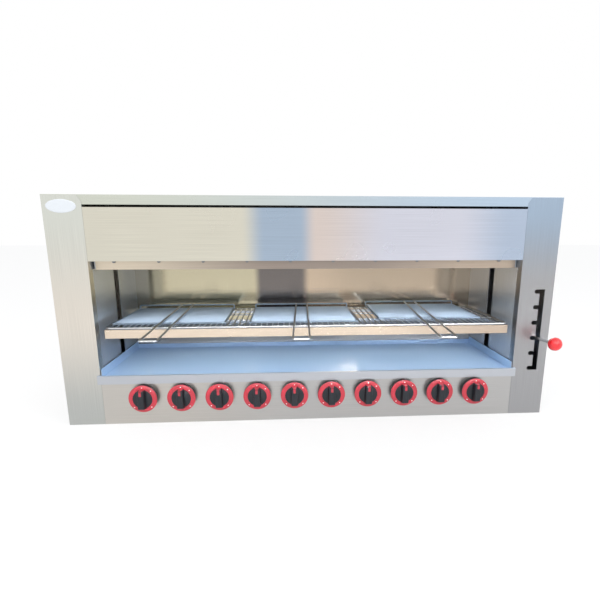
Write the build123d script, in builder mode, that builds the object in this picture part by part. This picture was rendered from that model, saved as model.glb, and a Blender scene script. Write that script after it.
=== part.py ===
"""Overhead gas cheese melter with a lever-set wire rack, three handled grids and a drip tray.

Millimetres. X runs to the right, Y to the rear, Z up. The origin is the centre of the casing's
underside. The rack carriage stands at the fourth notch of the comb slot, with the lever swung
out of the notch into the free channel.
"""

from build123d import *
import math
import os

os.makedirs("parts", exist_ok=True)

# ---------------------------------------------------------------- driving dimensions: casing
casing_width = 1200.0
casing_depth = 400.0
casing_height = 546.0
sheet = 1.2
lap_clearance = 0.3
stile_width = 86.0
stile_return = 22.0
rear_flange = 20.0
pan_edge = 14.0
rail_drop = 21.5
mitre_width = 10.0
mitre_height = 14.0
leg_hole_diameter = 10.5
leg_hole_inset_x = 60.0
leg_hole_inset_y = 50.0
vent_columns = 10
vent_pitch = 90.0
vent_length = 64.0
vent_width = 8.0
flue_row_gap = 60.0
back_vent_row_gap = 24.0
back_vent_height = 470.0

# ---------------------------------------------------------------- driving dimensions: front
vent_gap = 5.5
fascia_height = 120.0
fascia_fold = 14.0
panel_height = 104.0
panel_fold = 16.0
spindle_hole_diameter = 16.0

# ---------------------------------------------------------------- driving dimensions: chamber
chamber_depth = 325.0
wall_top = 500.0
rear_wall_bottom = 112.0
arm_slot_width = 32.0
arm_slot_bottom = 128.0
arm_slot_top = 376.0
guide_y = -30.0

# ---------------------------------------------------------------- driving dimensions: burners
burner_count = 10
burner_end_gap = 3.6
burner_side_gap = 11.2
burner_height = 42.0
burner_wall = 1.5
burner_rail_setback = 25.0
burner_rail_bottom = 378.0
burner_rail_height = 34.0
burner_rail_shelf = 24.0
burner_rail_end_gap = 8.0
tile_thickness = 13.0
bolt_head = 8.0
bolt_head_height = 3.5
bolt_height = 19.0
groove_size = 2.0
injector_rise = 3.0

# ---------------------------------------------------------------- driving dimensions: gas train
knob_count = 10
knob_end_inset = 100.0
knob_height = 69.0
manifold_diameter = 21.3
manifold_setback = 62.0
valve_width = 22.0
valve_height = 30.0
feed_diameter = 8.0
feed_drop = 24.0
injector_diameter = 16.0
injector_length = 24.0
inlet_diameter = 21.0
inlet_reach = 22.0
inlet_nut_size = 30.0
inlet_wall = 3.0
locknut_thickness = 4.0
neck_diameter = 20.2
neck_run_out = 0.5

# ---------------------------------------------------------------- driving dimensions: comb slot
notch_count = 6
rest_notch = 4
notch_pitch = 39.5
rest_notch_height = 203.0
notch_height = 10.5
notch_depth = 13.6
channel_width = 12.8
channel_inset = 28.0

# ---------------------------------------------------------------- driving dimensions: carriage
rack_side_gap = 13.0
rack_front_gap = 20.0
rack_rear_gap = 39.0
frame_top = 233.5
band_height = 21.0
band_fold = 14.0
side_bar_height = 10.5
rim_wire = 5.0
cross_wire = 3.0
cross_pitch = 14.0
support_wire = 3.5
support_count = 2
wire_sides = 8
weld_sink = 0.4
arm_width = 24.0
arm_height = 9.0
guide_rod_diameter = 12.0
guide_offset = 31.0
guide_rod_bottom = 24.0
guide_rod_top = 448.0
block_width = 30.0
block_height = 52.0
block_rise = 6.5
bush_clearance = 0.08
bracket_height = 12.0

# ---------------------------------------------------------------- driving dimensions: lever
lever_diameter = 8.0
lever_pivot_y = -86.0
lever_eye_diameter = 17.0
lever_eye_height = 10.0
lever_ball_diameter = 33.0
lever_ball_reach = 67.0
pivot_pin_diameter = 6.0
lug_thickness = 5.0
lever_gap = 0.3
pivot_clearance = 0.06
pivot_head_diameter = 9.6
pivot_head_height = 2.0
ball_socket = 3.0

# ---------------------------------------------------------------- driving dimensions: grids
grid_gaps = (8.5, 59.5, 58.5, 47.5)
grid_depth = 220.0
grid_front_gaps = (52.0, 52.0, 82.0)
grid_names = ("left", "centre", "right")
grid_frame_wire = 4.0
grid_fine_wire = 2.6
grid_fine_pitch = 7.7
grid_back_rise = 11.0
handle_wire = 4.6
handle_spread = 32.0
handle_end_spread = 37.0
handle_reach = 130.0
handle_leans = (-2.0, -12.0, -20.0)
handle_corner = 5.0

# ---------------------------------------------------------------- driving dimensions: tray
tray_side_gap = 2.5
tray_floor = 118.8
tray_side_height = 22.2
tray_back_height = 13.7
tray_rear_gap = 37.0
tray_front_step = 6.7
lip_overlap = 6.0
lip_height = 21.0
lip_stand_off = 4.8
runner_leg = 14.0
runner_drop = 16.0

# ---------------------------------------------------------------- driving dimensions: knobs
knob_diameter = 68.0
ring_inner_diameter = 47.0
skirt_height = 12.5
ring_thickness = 3.0
knob_gap = 1.5
grip_height = 17.0
grip_width = 15.0
spindle_diameter = 8.0
spindle_clearance = 0.1
spindle_depth = 34.0
skirt_inset = 1.0
hub_rise = 1.0
grip_inset = 1.0
grip_taper = 4.0

# ---------------------------------------------------------------- places that follow from them
half_width = casing_width / 2
front = -casing_depth / 2
rear = casing_depth / 2
opening_half = half_width - stile_width
burner_pitch = (2 * (opening_half - burner_end_gap) + burner_side_gap) / burner_count
burner_width = burner_pitch - burner_side_gap
knob_pitch = 2 * (opening_half - knob_end_inset) / (knob_count - 1)
channel_centre = half_width - channel_inset
rack_half_width = opening_half - rack_side_gap
tray_half_width = opening_half - tray_side_gap
lip_half_width = opening_half + lip_overlap
grid_width = (2 * rack_half_width - sum(grid_gaps)) / 3
grid_centres = [
    -rack_half_width + sum(grid_gaps[: i + 1]) + (i + 0.5) * grid_width for i in range(3)
]


def save(part, name):
    """Give a finished piece its name and write it."""
    part.label = name
    export_step(part, f"parts/{name}.step")


def folded(plane, points, thickness, side):
    """A closed sheet-metal section that follows the given outline on one side of it."""
    with BuildSketch(plane) as section:
        with BuildLine():
            outline = Polyline(*points)
            offset(outline, amount=thickness, side=side, kind=Kind.INTERSECTION)
        make_face()
    return section.sketch


# ================================================================ casing shells
rail_bottom = casing_height - rail_drop
cover_seat = casing_height - sheet
mitre_bottom = casing_height - mitre_height
notch_top = rest_notch_height + (rest_notch - 1) * notch_pitch
notch_heights = [notch_top - i * notch_pitch for i in range(notch_count)]

for hand, name in ((-1, "left_side_casing"), (1, "right_side_casing")):
    with BuildPart() as side_casing:
        shell = folded(
            Plane.XY,
            [
                (hand * (half_width - rear_flange), rear),
                (hand * half_width, rear),
                (hand * half_width, front),
                (hand * opening_half, front),
                (hand * opening_half, front + stile_return),
            ],
            sheet,
            Side.RIGHT if hand > 0 else Side.LEFT,
        )
        extrude(shell, amount=cover_seat)
        # the return flange stands on the base pan's folded edge
        with Locations((hand * (opening_half + sheet / 2), front + sheet + stile_return / 2, 0)):
            Box(2 * sheet, stile_return, 2 * pan_edge, mode=Mode.SUBTRACT)
        # mitred corner where the top rail meets the stile
        with BuildSketch(Plane.XZ.offset(-front)) as mitre:
            with BuildLine():
                Polyline(
                    (hand * opening_half, mitre_bottom),
                    (hand * (opening_half + mitre_width), casing_height),
                    (hand * (opening_half - sheet), casing_height),
                    (hand * (opening_half - sheet), mitre_bottom),
                    close=True,
                )
            make_face()
        extrude(amount=-stile_return - sheet, mode=Mode.SUBTRACT)
        if hand > 0:
            # comb slot: a straight channel with rounded notches towards the opening
            channel_top = notch_heights[0] + notch_height / 2
            channel_bottom = notch_heights[-1] - notch_height / 2
            tip = channel_centre - channel_width / 2
            with BuildSketch(Plane.XZ.offset(-front)) as comb:
                with Locations((channel_centre, (channel_top + channel_bottom) / 2)):
                    Rectangle(channel_width, channel_top - channel_bottom)
                for height in notch_heights:
                    with Locations((tip - notch_depth + notch_height / 2, height)):
                        Circle(notch_height / 2)
                    with Locations((tip - (notch_depth - notch_height / 2) / 2, height)):
                        Rectangle(notch_depth - notch_height / 2 + sheet, notch_height)
            extrude(amount=-sheet * 2, both=True, mode=Mode.SUBTRACT)
    save(side_casing.part, name)

with BuildPart() as top_cover:
    with Locations((0, 0, casing_height - sheet / 2)):
        Box(casing_width, casing_depth, sheet)
    rail_half = opening_half - lap_clearance
    with BuildSketch(Plane.XZ.offset(-front)) as rail_face:
        with BuildLine():
            Polyline(
                (-rail_half, rail_bottom),
                (rail_half, rail_bottom),
                (rail_half, mitre_bottom),
                (rail_half + mitre_width * (cover_seat - mitre_bottom) / mitre_height, cover_seat),
                (-rail_half - mitre_width * (cover_seat - mitre_bottom) / mitre_height, cover_seat),
                (-rail_half, mitre_bottom),
                close=True,
            )
        make_face()
    extrude(amount=-sheet)
    # flue slots over the burners
    with BuildSketch(Plane.XY.offset(casing_height)) as flue:
        with GridLocations(vent_pitch, flue_row_gap, vent_columns, 2):
            Rectangle(vent_length, vent_width)
    extrude(amount=-2 * sheet, mode=Mode.SUBTRACT)
save(top_cover.part, "top_cover")

with BuildPart() as back_cover:
    with Locations((0, rear + sheet / 2, (pan_edge + cover_seat) / 2)):
        Box(casing_width - rear_flange, sheet, cover_seat - pan_edge)
    with BuildSketch(Plane.XZ.offset(-rear)) as back_vents:
        with Locations((0, back_vent_height)):
            with GridLocations(vent_pitch, back_vent_row_gap, vent_columns, 2):
                Rectangle(vent_length, vent_width)
    extrude(amount=-2 * sheet, mode=Mode.SUBTRACT)
    with BuildSketch(Plane.XZ.offset(-rear)) as inlet_opening:
        with Locations((half_width - 2 * stile_width, knob_height)):
            Circle(inlet_diameter / 2 + lap_clearance)
    extrude(amount=-2 * sheet, mode=Mode.SUBTRACT)
save(back_cover.part, "back_cover")

pan_half_width = half_width - sheet
pan_half_depth = casing_depth / 2 - sheet
with BuildPart() as base_plate:
    with Locations((0, 0, pan_edge / 2)):
        Box(2 * pan_half_width, 2 * pan_half_depth, pan_edge)
    with Locations((0, 0, pan_edge / 2 + sheet)):
        Box(2 * (pan_half_width - sheet), 2 * (pan_half_depth - sheet), pan_edge, mode=Mode.SUBTRACT)
    with BuildSketch() as leg_holes:
        with GridLocations(casing_width - 2 * leg_hole_inset_x, casing_depth - 2 * leg_hole_inset_y, 2, 2):
            Circle(leg_hole_diameter / 2)
    extrude(amount=sheet, mode=Mode.SUBTRACT)
save(base_plate.part, "base_plate")

# ================================================================ fascia and control panel
fascia_top = rail_bottom - vent_gap
fascia_bottom = fascia_top - fascia_height
panel_half = opening_half - lap_clearance

with BuildPart() as hood_fascia:
    fascia_section = folded(
        Plane.YZ.offset(-panel_half),
        [
            (front + fascia_fold, fascia_top),
            (front, fascia_top),
            (front, fascia_bottom),
            (front + fascia_fold, fascia_bottom),
            (front + fascia_fold, fascia_bottom + fascia_fold / 2),
        ],
        sheet,
        Side.LEFT,
    )
    extrude(fascia_section, amount=2 * panel_half)
save(hood_fascia.part, "hood_fascia")

knob_positions = [(i - (knob_count - 1) / 2) * knob_pitch for i in range(knob_count)]
with BuildPart() as control_panel:
    panel_section = folded(
        Plane.YZ.offset(-panel_half),
        [(front + panel_fold, panel_height), (front, panel_height), (front, 0)],
        sheet,
        Side.LEFT,
    )
    extrude(panel_section, amount=2 * panel_half)
    with BuildSketch(Plane.XZ.offset(-front)) as spindle_holes:
        with Locations(*[(x, knob_height) for x in knob_positions]):
            Circle(spindle_hole_diameter / 2)
    extrude(amount=-2 * sheet, mode=Mode.SUBTRACT)
save(control_panel.part, "control_panel")

# ================================================================ chamber walls
wall_face = opening_half + sheet
wall_front = front + 2 * sheet
chamber_rear = front + chamber_depth

for hand, name in ((-1, "left_inner_wall"), (1, "right_inner_wall")):
    with BuildPart() as inner_wall:
        wall_length = chamber_rear + sheet - wall_front
        wall_middle = (wall_front + chamber_rear + sheet) / 2
        with Locations((hand * (wall_face + sheet / 2), wall_middle, (wall_top + sheet) / 2)):
            Box(sheet, wall_length, wall_top - sheet)
        with Locations((hand * (wall_face + sheet / 2), guide_y, (arm_slot_top + arm_slot_bottom) / 2)):
            Box(2 * sheet, arm_slot_width, arm_slot_top - arm_slot_bottom, mode=Mode.SUBTRACT)
    save(inner_wall.part, name)

burner_positions = [(i - (burner_count - 1) / 2) * burner_pitch for i in range(burner_count)]
burner_floor = burner_rail_bottom + sheet
injector_height = burner_floor + burner_height / 2 + injector_rise

with BuildPart() as rear_inner_wall:
    rear_section = folded(
        Plane.YZ.offset(-wall_face),
        [
            (chamber_rear + pan_edge, rear_wall_bottom),
            (chamber_rear, rear_wall_bottom),
            (chamber_rear, wall_top),
        ],
        sheet,
        Side.RIGHT,
    )
    extrude(rear_section, amount=2 * wall_face)
    with BuildSketch(Plane.XZ.offset(-chamber_rear)) as injector_holes:
        with Locations(*[(x, injector_height) for x in burner_positions]):
            Circle(injector_diameter / 2 + lap_clearance)
    extrude(amount=-2 * sheet, mode=Mode.SUBTRACT)
save(rear_inner_wall.part, "rear_inner_wall")

# ================================================================ burners under the hood
rail_face_y = front + burner_rail_setback
rail_face_half = wall_face - burner_rail_end_gap
shelf_end = rail_face_y + burner_rail_shelf

with BuildPart() as burner_rail_front:
    rail_section = folded(
        Plane.YZ.offset(-rail_face_half),
        [
            (rail_face_y, burner_rail_bottom + burner_rail_height),
            (rail_face_y, burner_rail_bottom),
            (shelf_end, burner_rail_bottom),
        ],
        sheet,
        Side.LEFT,
    )
    extrude(rail_section, amount=2 * rail_face_half)
    # the shelf runs on to both walls, behind the shorter face
    with Locations((0, (rail_face_y + shelf_end) / 2 + 2 * sheet, burner_rail_bottom + sheet / 2)):
        Box(2 * wall_face, burner_rail_shelf - 4 * sheet, sheet)
save(burner_rail_front.part, "burner_rail_front")

with BuildPart() as burner_rail_rear:
    rear_rail_section = folded(
        Plane.YZ.offset(-wall_face),
        [
            (chamber_rear, burner_rail_bottom - pan_edge),
            (chamber_rear, burner_floor),
            (chamber_rear - burner_rail_shelf, burner_floor),
        ],
        sheet,
        Side.LEFT,
    )
    extrude(rear_rail_section, amount=2 * wall_face)
save(burner_rail_rear.part, "burner_rail_rear")

burner_front = rail_face_y + sheet
burner_length = chamber_rear - burner_front - lap_clearance
burner_middle = burner_front + burner_length / 2
with BuildPart() as burner_housings:
    with Locations(*[(x, burner_middle, burner_floor + burner_height / 2) for x in burner_positions]):
        Box(burner_width, burner_length, burner_height)
    with Locations(*[(x, burner_middle, burner_floor + burner_height / 2) for x in burner_positions]):
        Box(
            burner_width - 2 * burner_wall,
            burner_length - 2 * burner_rail_shelf,
            burner_height - 2 * burner_wall,
            mode=Mode.SUBTRACT,
        )
    with BuildSketch(Plane.XY.offset(burner_floor)) as mouths:
        with Locations(*[(x, burner_middle) for x in burner_positions]):
            Rectangle(burner_width - 2 * burner_wall, burner_length - 2 * burner_rail_shelf)
    extrude(amount=burner_wall, mode=Mode.SUBTRACT)
    with BuildSketch(Plane.XZ.offset(-chamber_rear)) as throats:
        with Locations(*[(x, injector_height) for x in burner_positions]):
            Circle(injector_diameter / 2)
    extrude(amount=burner_rail_shelf * 2, mode=Mode.SUBTRACT)
save(burner_housings.part, "burner_housings")

tile_length = burner_length - 2 * burner_rail_shelf
with BuildPart() as burner_tiles:
    with Locations(*[(x, burner_middle, burner_floor + tile_thickness / 2) for x in burner_positions]):
        Box(burner_width - 2 * burner_wall, tile_length, tile_thickness)
    # the flame face is cut into panels by shallow grooves
    with BuildSketch(Plane.XY.offset(burner_floor)) as grooves:
        for x in burner_positions:
            with Locations((x, burner_middle)):
                with GridLocations(0, tile_length / 3, 1, 2):
                    Rectangle(burner_width, groove_size)
    extrude(amount=groove_size, mode=Mode.SUBTRACT)
save(burner_tiles.part, "burner_tiles")

with BuildPart() as burner_bolts:
    with BuildSketch(Plane.XZ.offset(-rail_face_y)) as heads:
        with Locations(*[(x, burner_rail_bottom + bolt_height) for x in burner_positions]):
            RegularPolygon(bolt_head / 2, 6)
    extrude(amount=bolt_head_height)
save(burner_bolts.part, "burner_bolts")

# ================================================================ gas train
manifold_y = front + manifold_setback
inlet_x = half_width - 2 * stile_width
valve_front = front + sheet + lap_clearance
with BuildPart() as gas_manifold:
    with BuildSketch(Plane.YZ.offset(-opening_half + stile_return)) as manifold_bore:
        with Locations((manifold_y, knob_height)):
            RegularPolygon(manifold_diameter / 2, 12)
    extrude(amount=opening_half - stile_return + inlet_x + manifold_diameter / 2)
    with BuildSketch(Plane.XZ.offset(-manifold_y)) as supply_bore:
        with Locations((inlet_x, knob_height)):
            RegularPolygon(manifold_diameter / 2, 12)
    extrude(amount=-(rear - inlet_reach - manifold_y))
save(gas_manifold.part, "gas_manifold")

thread_start = rear + sheet + locknut_thickness + neck_run_out
with BuildPart() as gas_inlet:
    with BuildSketch(Plane.XZ.offset(-(rear - inlet_reach))) as inlet_neck:
        with Locations((inlet_x, knob_height)):
            Circle(neck_diameter / 2)
    extrude(amount=-(thread_start - rear + inlet_reach))
    with BuildSketch(Plane.XZ.offset(-thread_start)) as inlet_thread:
        with Locations((inlet_x, knob_height)):
            Circle(inlet_diameter / 2)
    extrude(amount=-(rear + inlet_reach - thread_start))
    with BuildSketch(Plane.XZ.offset(-(rear - inlet_reach))) as inlet_nut:
        with Locations((inlet_x, knob_height)):
            RegularPolygon(inlet_nut_size / 2, 6)
    extrude(amount=-inlet_reach + 2 * sheet)
    with BuildSketch(Plane.XZ.offset(-(rear + inlet_reach))) as inlet_mouth:
        with Locations((inlet_x, knob_height)):
            Circle(inlet_diameter / 2 - inlet_wall)
    extrude(amount=inlet_reach, mode=Mode.SUBTRACT)
save(gas_inlet.part, "gas_inlet")

# the locknut clamps the inlet to the back cover; the thread behind it takes the supply union
with BuildPart() as inlet_locknut:
    with BuildSketch(Plane.XZ.offset(-(rear + sheet))):
        with Locations((inlet_x, knob_height)):
            RegularPolygon(inlet_nut_size / 2, 6)
            Circle(inlet_diameter / 2, mode=Mode.SUBTRACT)
    extrude(amount=-locknut_thickness)
save(inlet_locknut.part, "inlet_locknut")

valve_depth = manifold_y - manifold_diameter / 2 - valve_front
with BuildPart() as gas_valves:
    with Locations(*[(x, valve_front + valve_depth / 2, knob_height) for x in knob_positions]):
        Box(valve_width, valve_depth, valve_height)
    with BuildSketch(Plane.XZ.offset(-valve_front)) as spindle_bores:
        with Locations(*[(x, knob_height) for x in knob_positions]):
            Circle(spindle_diameter / 2 + spindle_clearance)
    extrude(amount=-(spindle_depth + lap_clearance), mode=Mode.SUBTRACT)
save(gas_valves.part, "gas_valves")

# each valve feeds the burner above it: out of the valve's top, over the manifold, up the rear gap
feed_level = knob_height + valve_height / 2 + feed_diameter
feed_riser = chamber_rear + injector_length + feed_diameter
feed_start_y = valve_front + valve_depth / 2
with BuildPart() as feed_pipes:
    for valve_x, burner_x in zip(knob_positions, burner_positions):
        with BuildLine() as route:
            Polyline(
                (valve_x, feed_start_y, knob_height + valve_height / 2),
                (valve_x, feed_start_y, feed_level),
                (valve_x, chamber_rear - feed_drop, feed_level),
                (burner_x, feed_riser, feed_level),
                (burner_x, feed_riser, injector_height),
                (burner_x, chamber_rear + injector_length - 2 * sheet, injector_height),
            )
        with BuildSketch(Plane(origin=(valve_x, feed_start_y, knob_height + valve_height / 2))):
            RegularPolygon(feed_diameter / 2, 6)
        sweep(path=route.line, transition=Transition.RIGHT)
save(feed_pipes.part, "feed_pipes")

with BuildPart() as burner_injectors:
    with BuildSketch(Plane.XZ.offset(-chamber_rear)) as injector_bodies:
        with Locations(*[(x, injector_height) for x in burner_positions]):
            RegularPolygon(injector_diameter / 2, 6)
    extrude(amount=-(injector_length - 2 * sheet))
save(burner_injectors.part, "burner_injectors")

# ================================================================ guides inside the side casings
guide_x = wall_face + sheet + guide_offset
for_both = (-1, 1)
with BuildPart() as guide_rods:
    with BuildSketch(Plane.XY.offset(guide_rod_bottom)) as rod_sections:
        with Locations(*[(hand * guide_x, guide_y) for hand in for_both]):
            Circle(guide_rod_diameter / 2)
    extrude(amount=guide_rod_top - guide_rod_bottom)
save(guide_rods.part, "guide_rods")

bracket_length = guide_offset + guide_rod_diameter
with BuildPart() as guide_brackets:
    for level in (guide_rod_bottom, guide_rod_top - bracket_height):
        for hand in for_both:
            with Locations(
                (
                    hand * (wall_face + sheet + bracket_length / 2),
                    guide_y,
                    level + bracket_height / 2,
                )
            ):
                Box(bracket_length, block_width, bracket_height)
    with BuildSketch(Plane.XY.offset(guide_rod_bottom)) as rod_seats:
        with Locations(*[(hand * guide_x, guide_y) for hand in for_both]):
            Circle(guide_rod_diameter / 2)
    extrude(amount=guide_rod_top - guide_rod_bottom, mode=Mode.SUBTRACT)
save(guide_brackets.part, "guide_brackets")

runner_top = tray_floor - lap_clearance
with BuildPart() as tray_runners:
    for hand in for_both:
        runner_section = folded(
            Plane.XZ.offset(-front - stile_return),
            [
                (hand * (wall_face - runner_leg), runner_top),
                (hand * wall_face, runner_top),
                (hand * wall_face, runner_top - runner_drop),
            ],
            sheet,
            Side.RIGHT if hand > 0 else Side.LEFT,
        )
        extrude(runner_section, amount=-(chamber_depth - stile_return - tray_rear_gap))
save(tray_runners.part, "tray_runners")

# ================================================================ rack carriage
rack_front = front + rack_front_gap
rack_rear = chamber_rear - rack_rear_gap
band_bottom = frame_top - band_height
bar_bottom = frame_top - side_bar_height

with BuildPart() as carriage_frame:
    band_section = folded(
        Plane.YZ.offset(-rack_half_width),
        [
            (rack_front + band_fold, frame_top),
            (rack_front, frame_top),
            (rack_front, band_bottom),
            (rack_front + band_fold, band_bottom),
        ],
        sheet,
        Side.LEFT,
    )
    extrude(band_section, amount=2 * rack_half_width)
    rear_bar = folded(
        Plane.YZ.offset(-rack_half_width),
        [
            (rack_rear - band_fold, frame_top),
            (rack_rear, frame_top),
            (rack_rear, bar_bottom),
        ],
        sheet,
        Side.RIGHT,
    )
    extrude(rear_bar, amount=2 * rack_half_width)
    for hand in for_both:
        side_bar = folded(
            Plane.XZ.offset(-rack_front),
            [
                (hand * (rack_half_width - band_fold), frame_top),
                (hand * rack_half_width, frame_top),
                (hand * rack_half_width, bar_bottom),
            ],
            sheet,
            Side.RIGHT if hand > 0 else Side.LEFT,
        )
        extrude(side_bar, amount=-(rack_rear - rack_front))
save(carriage_frame.part, "carriage_frame")

wire_floor = frame_top
cross_level = wire_floor + support_wire - weld_sink + cross_wire / 2
rim_level = cross_level + (cross_wire - rim_wire) / 2
rim_front = rack_front + rim_wire / 2 - sheet
rim_rear = rack_rear - rim_wire / 2
rim_side = rack_half_width - rim_wire / 2
cross_count = 2 * int((rim_side - cross_pitch / 2) / cross_pitch) + 1
cross_span = rim_rear - rim_front - rim_wire
rim_corner = 2 * rim_wire
with BuildPart() as wire_rack:
    with BuildLine() as rim_line:
        FilletPolyline(
            (-rim_side, rim_front, rim_level),
            (rim_side, rim_front, rim_level),
            (rim_side, rim_rear, rim_level),
            (-rim_side, rim_rear, rim_level),
            radius=rim_corner,
            close=True,
        )
    with BuildSketch(Plane(origin=rim_line.line @ 0, z_dir=rim_line.line % 0)):
        RegularPolygon(rim_wire / 2, wire_sides)
    sweep(path=rim_line.line)
    # the wires sink a little into each other where they are welded
    with BuildSketch(Plane.XZ.offset(-rim_front - rim_wire / 2 + weld_sink)):
        with Locations((0, cross_level)):
            with GridLocations(cross_pitch, 0, cross_count, 1):
                RegularPolygon(cross_wire / 2, wire_sides)
    extrude(amount=-cross_span - 2 * weld_sink)
    with BuildSketch(Plane.YZ.offset(-rim_side + rim_wire / 2 - weld_sink)):
        with Locations(((rim_front + rim_rear) / 2, wire_floor + support_wire / 2)):
            with GridLocations(cross_span / (support_count + 1), 0, support_count, 1):
                RegularPolygon(support_wire / 2, wire_sides)
    extrude(amount=2 * (rim_side + weld_sink) - rim_wire)
save(wire_rack.part, "wire_rack")

arm_level = bar_bottom + arm_height / 2 + (side_bar_height - arm_height) / 2
block_inner = guide_x - block_width / 2
with BuildPart() as carriage_arms:
    with Locations(
        *[(hand * (rack_half_width + block_inner) / 2, guide_y, arm_level) for hand in for_both]
    ):
        Box(block_inner - rack_half_width, arm_width, arm_height)
save(carriage_arms.part, "carriage_arms")

block_top = frame_top + block_rise
block_middle = block_top - block_height / 2
lever_x = channel_centre - channel_width / 2 - notch_depth + notch_height / 2
lug_front = lever_pivot_y - lever_eye_diameter / 2
block_front = guide_y - block_width / 2
for hand, name in ((-1, "left_guide_block"), (1, "right_guide_block")):
    with BuildPart() as guide_block:
        with Locations((hand * guide_x, guide_y, block_middle)):
            Box(block_width, block_width, block_height)
        if hand > 0:
            # two lugs carry the lever's pivot pin
            for side in for_both:
                lug_level = rest_notch_height + side * (lever_eye_height / 2 + lever_gap + lug_thickness / 2)
                with Locations((lever_x, (lug_front + block_front) / 2, lug_level)):
                    Box(lever_eye_diameter, block_front - lug_front, lug_thickness)
            with BuildSketch(Plane.XY.offset(rest_notch_height)) as pin_bores:
                with Locations((lever_x, lever_pivot_y)):
                    Circle(pivot_pin_diameter / 2)
            extrude(amount=lever_eye_height + lug_thickness, both=True, mode=Mode.SUBTRACT)
        with BuildSketch(Plane.XY.offset(block_top)) as bush_bore:
            with Locations((hand * guide_x, guide_y)):
                Circle(guide_rod_diameter / 2 + bush_clearance)
        extrude(amount=-block_height, mode=Mode.SUBTRACT)
    save(guide_block.part, name)

pin_length = lever_eye_height + 2 * (lever_gap + lug_thickness)
with BuildPart() as lever_pivot:
    with Locations((lever_x, lever_pivot_y, rest_notch_height)):
        Cylinder(pivot_pin_diameter / 2, pin_length)
    with Locations((lever_x, lever_pivot_y, rest_notch_height + pin_length / 2)):
        Cylinder(
            pivot_head_diameter / 2,
            pivot_head_height,
            align=(Align.CENTER, Align.CENTER, Align.MIN),
        )
save(lever_pivot.part, "lever_pivot")

# ================================================================ lever, swung into the channel
lever_swing = math.degrees(math.atan2(channel_centre - lever_x, lever_pivot_y - front))
lever_length = lever_pivot_y - front + lever_ball_reach
lever_plane = Plane(
    origin=(lever_x, lever_pivot_y, rest_notch_height),
    x_dir=(math.cos(math.radians(lever_swing)), math.sin(math.radians(lever_swing)), 0),
    z_dir=(math.sin(math.radians(lever_swing)), -math.cos(math.radians(lever_swing)), 0),
)
ball_seat = lever_length - lever_ball_diameter / 2 + ball_socket
with BuildPart() as lever_rod:
    with BuildSketch(lever_plane):
        Circle(lever_diameter / 2)
    extrude(amount=lever_length)
    with Locations((lever_x, lever_pivot_y, rest_notch_height)):
        Cylinder(lever_eye_diameter / 2, lever_eye_height)
        Cylinder(
            pivot_pin_diameter / 2 + pivot_clearance,
            2 * lever_eye_height,
            mode=Mode.SUBTRACT,
        )
save(lever_rod.part, "lever_rod")

ball_plane = Plane(
    origin=lever_plane.origin + lever_plane.z_dir * lever_length,
    x_dir=lever_plane.x_dir,
    z_dir=lever_plane.z_dir,
)
with BuildPart() as lever_ball:
    with Locations(ball_plane):
        Sphere(lever_ball_diameter / 2)
    with BuildSketch(lever_plane.offset(ball_seat)):
        Circle(lever_ball_diameter)
    extrude(amount=-lever_ball_diameter, mode=Mode.SUBTRACT)
    with BuildSketch(ball_plane):
        Circle(lever_diameter / 2)
    extrude(amount=-lever_ball_diameter, mode=Mode.SUBTRACT)
save(lever_ball.part, "lever_ball")

# ================================================================ three handled grids
rack_top = cross_level + cross_wire / 2
grid_floor = rack_top + lap_clearance
frame_level = grid_floor + grid_frame_wire / 2
fine_level = grid_floor + grid_frame_wire - grid_fine_wire / 2
fine_count = int((grid_depth - 2 * grid_frame_wire) / grid_fine_pitch)
back_level = frame_level + grid_back_rise

for name, centre, front_gap, lean in zip(grid_names, grid_centres, grid_front_gaps, handle_leans):
    grid_front = front + front_gap
    grid_back = grid_front + grid_depth
    grid_middle = (grid_front + grid_back) / 2
    with BuildPart() as grill_grid:
        with BuildSketch(Plane.XY.offset(grid_floor)) as border:
            with Locations((centre, grid_middle)):
                Rectangle(grid_width, grid_depth)
                Rectangle(
                    grid_width - 2 * grid_frame_wire,
                    grid_depth - 2 * grid_frame_wire,
                    mode=Mode.SUBTRACT,
                )
        extrude(amount=grid_frame_wire)
        with BuildSketch(Plane.YZ.offset(centre - grid_width / 2 + grid_frame_wire / 2)):
            with Locations((grid_middle, fine_level)):
                with GridLocations(grid_fine_pitch, 0, fine_count, 1):
                    RegularPolygon(grid_fine_wire / 2, 6)
        extrude(amount=grid_width - grid_frame_wire)
        # the back edge is bent up and carries the handle
        with BuildLine() as back_line:
            post = grid_width / 2 - grid_frame_wire / 2
            FilletPolyline(
                (centre - post, grid_back - grid_frame_wire / 2, frame_level),
                (centre - post, grid_back - grid_frame_wire / 2, back_level),
                (centre + post, grid_back - grid_frame_wire / 2, back_level),
                (centre + post, grid_back - grid_frame_wire / 2, frame_level),
                radius=grid_frame_wire,
            )
        with BuildSketch(Plane(origin=(centre - post, grid_back - grid_frame_wire / 2, frame_level))):
            RegularPolygon(grid_frame_wire / 2, wire_sides)
        sweep(path=back_line.line)
    save(grill_grid.part, f"grill_grid_{name}")

    # a long loop of wire runs straight from the back edge over the front bar and out of the chamber
    handle_back = grid_back - grid_frame_wire
    handle_end = front - handle_reach
    rest_level = grid_floor + grid_frame_wire + handle_wire / 2
    fall = (back_level - rest_level) / (handle_back - grid_front)
    end_level = back_level - fall * (handle_back - handle_end)
    with BuildPart() as grid_handle:
        with BuildLine() as handle_line:
            FilletPolyline(
                (centre - handle_spread / 2, handle_back, back_level),
                (centre + lean - handle_end_spread / 2, handle_end, end_level),
                (centre + lean + handle_end_spread / 2, handle_end, end_level),
                (centre + handle_spread / 2, handle_back, back_level),
                radius=handle_corner,
            )
        with BuildSketch(Plane(origin=handle_line.line @ 0, z_dir=handle_line.line % 0)):
            RegularPolygon(handle_wire / 2, wire_sides)
        sweep(path=handle_line.line)
    save(grid_handle.part, f"grid_handle_{name}")

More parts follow.
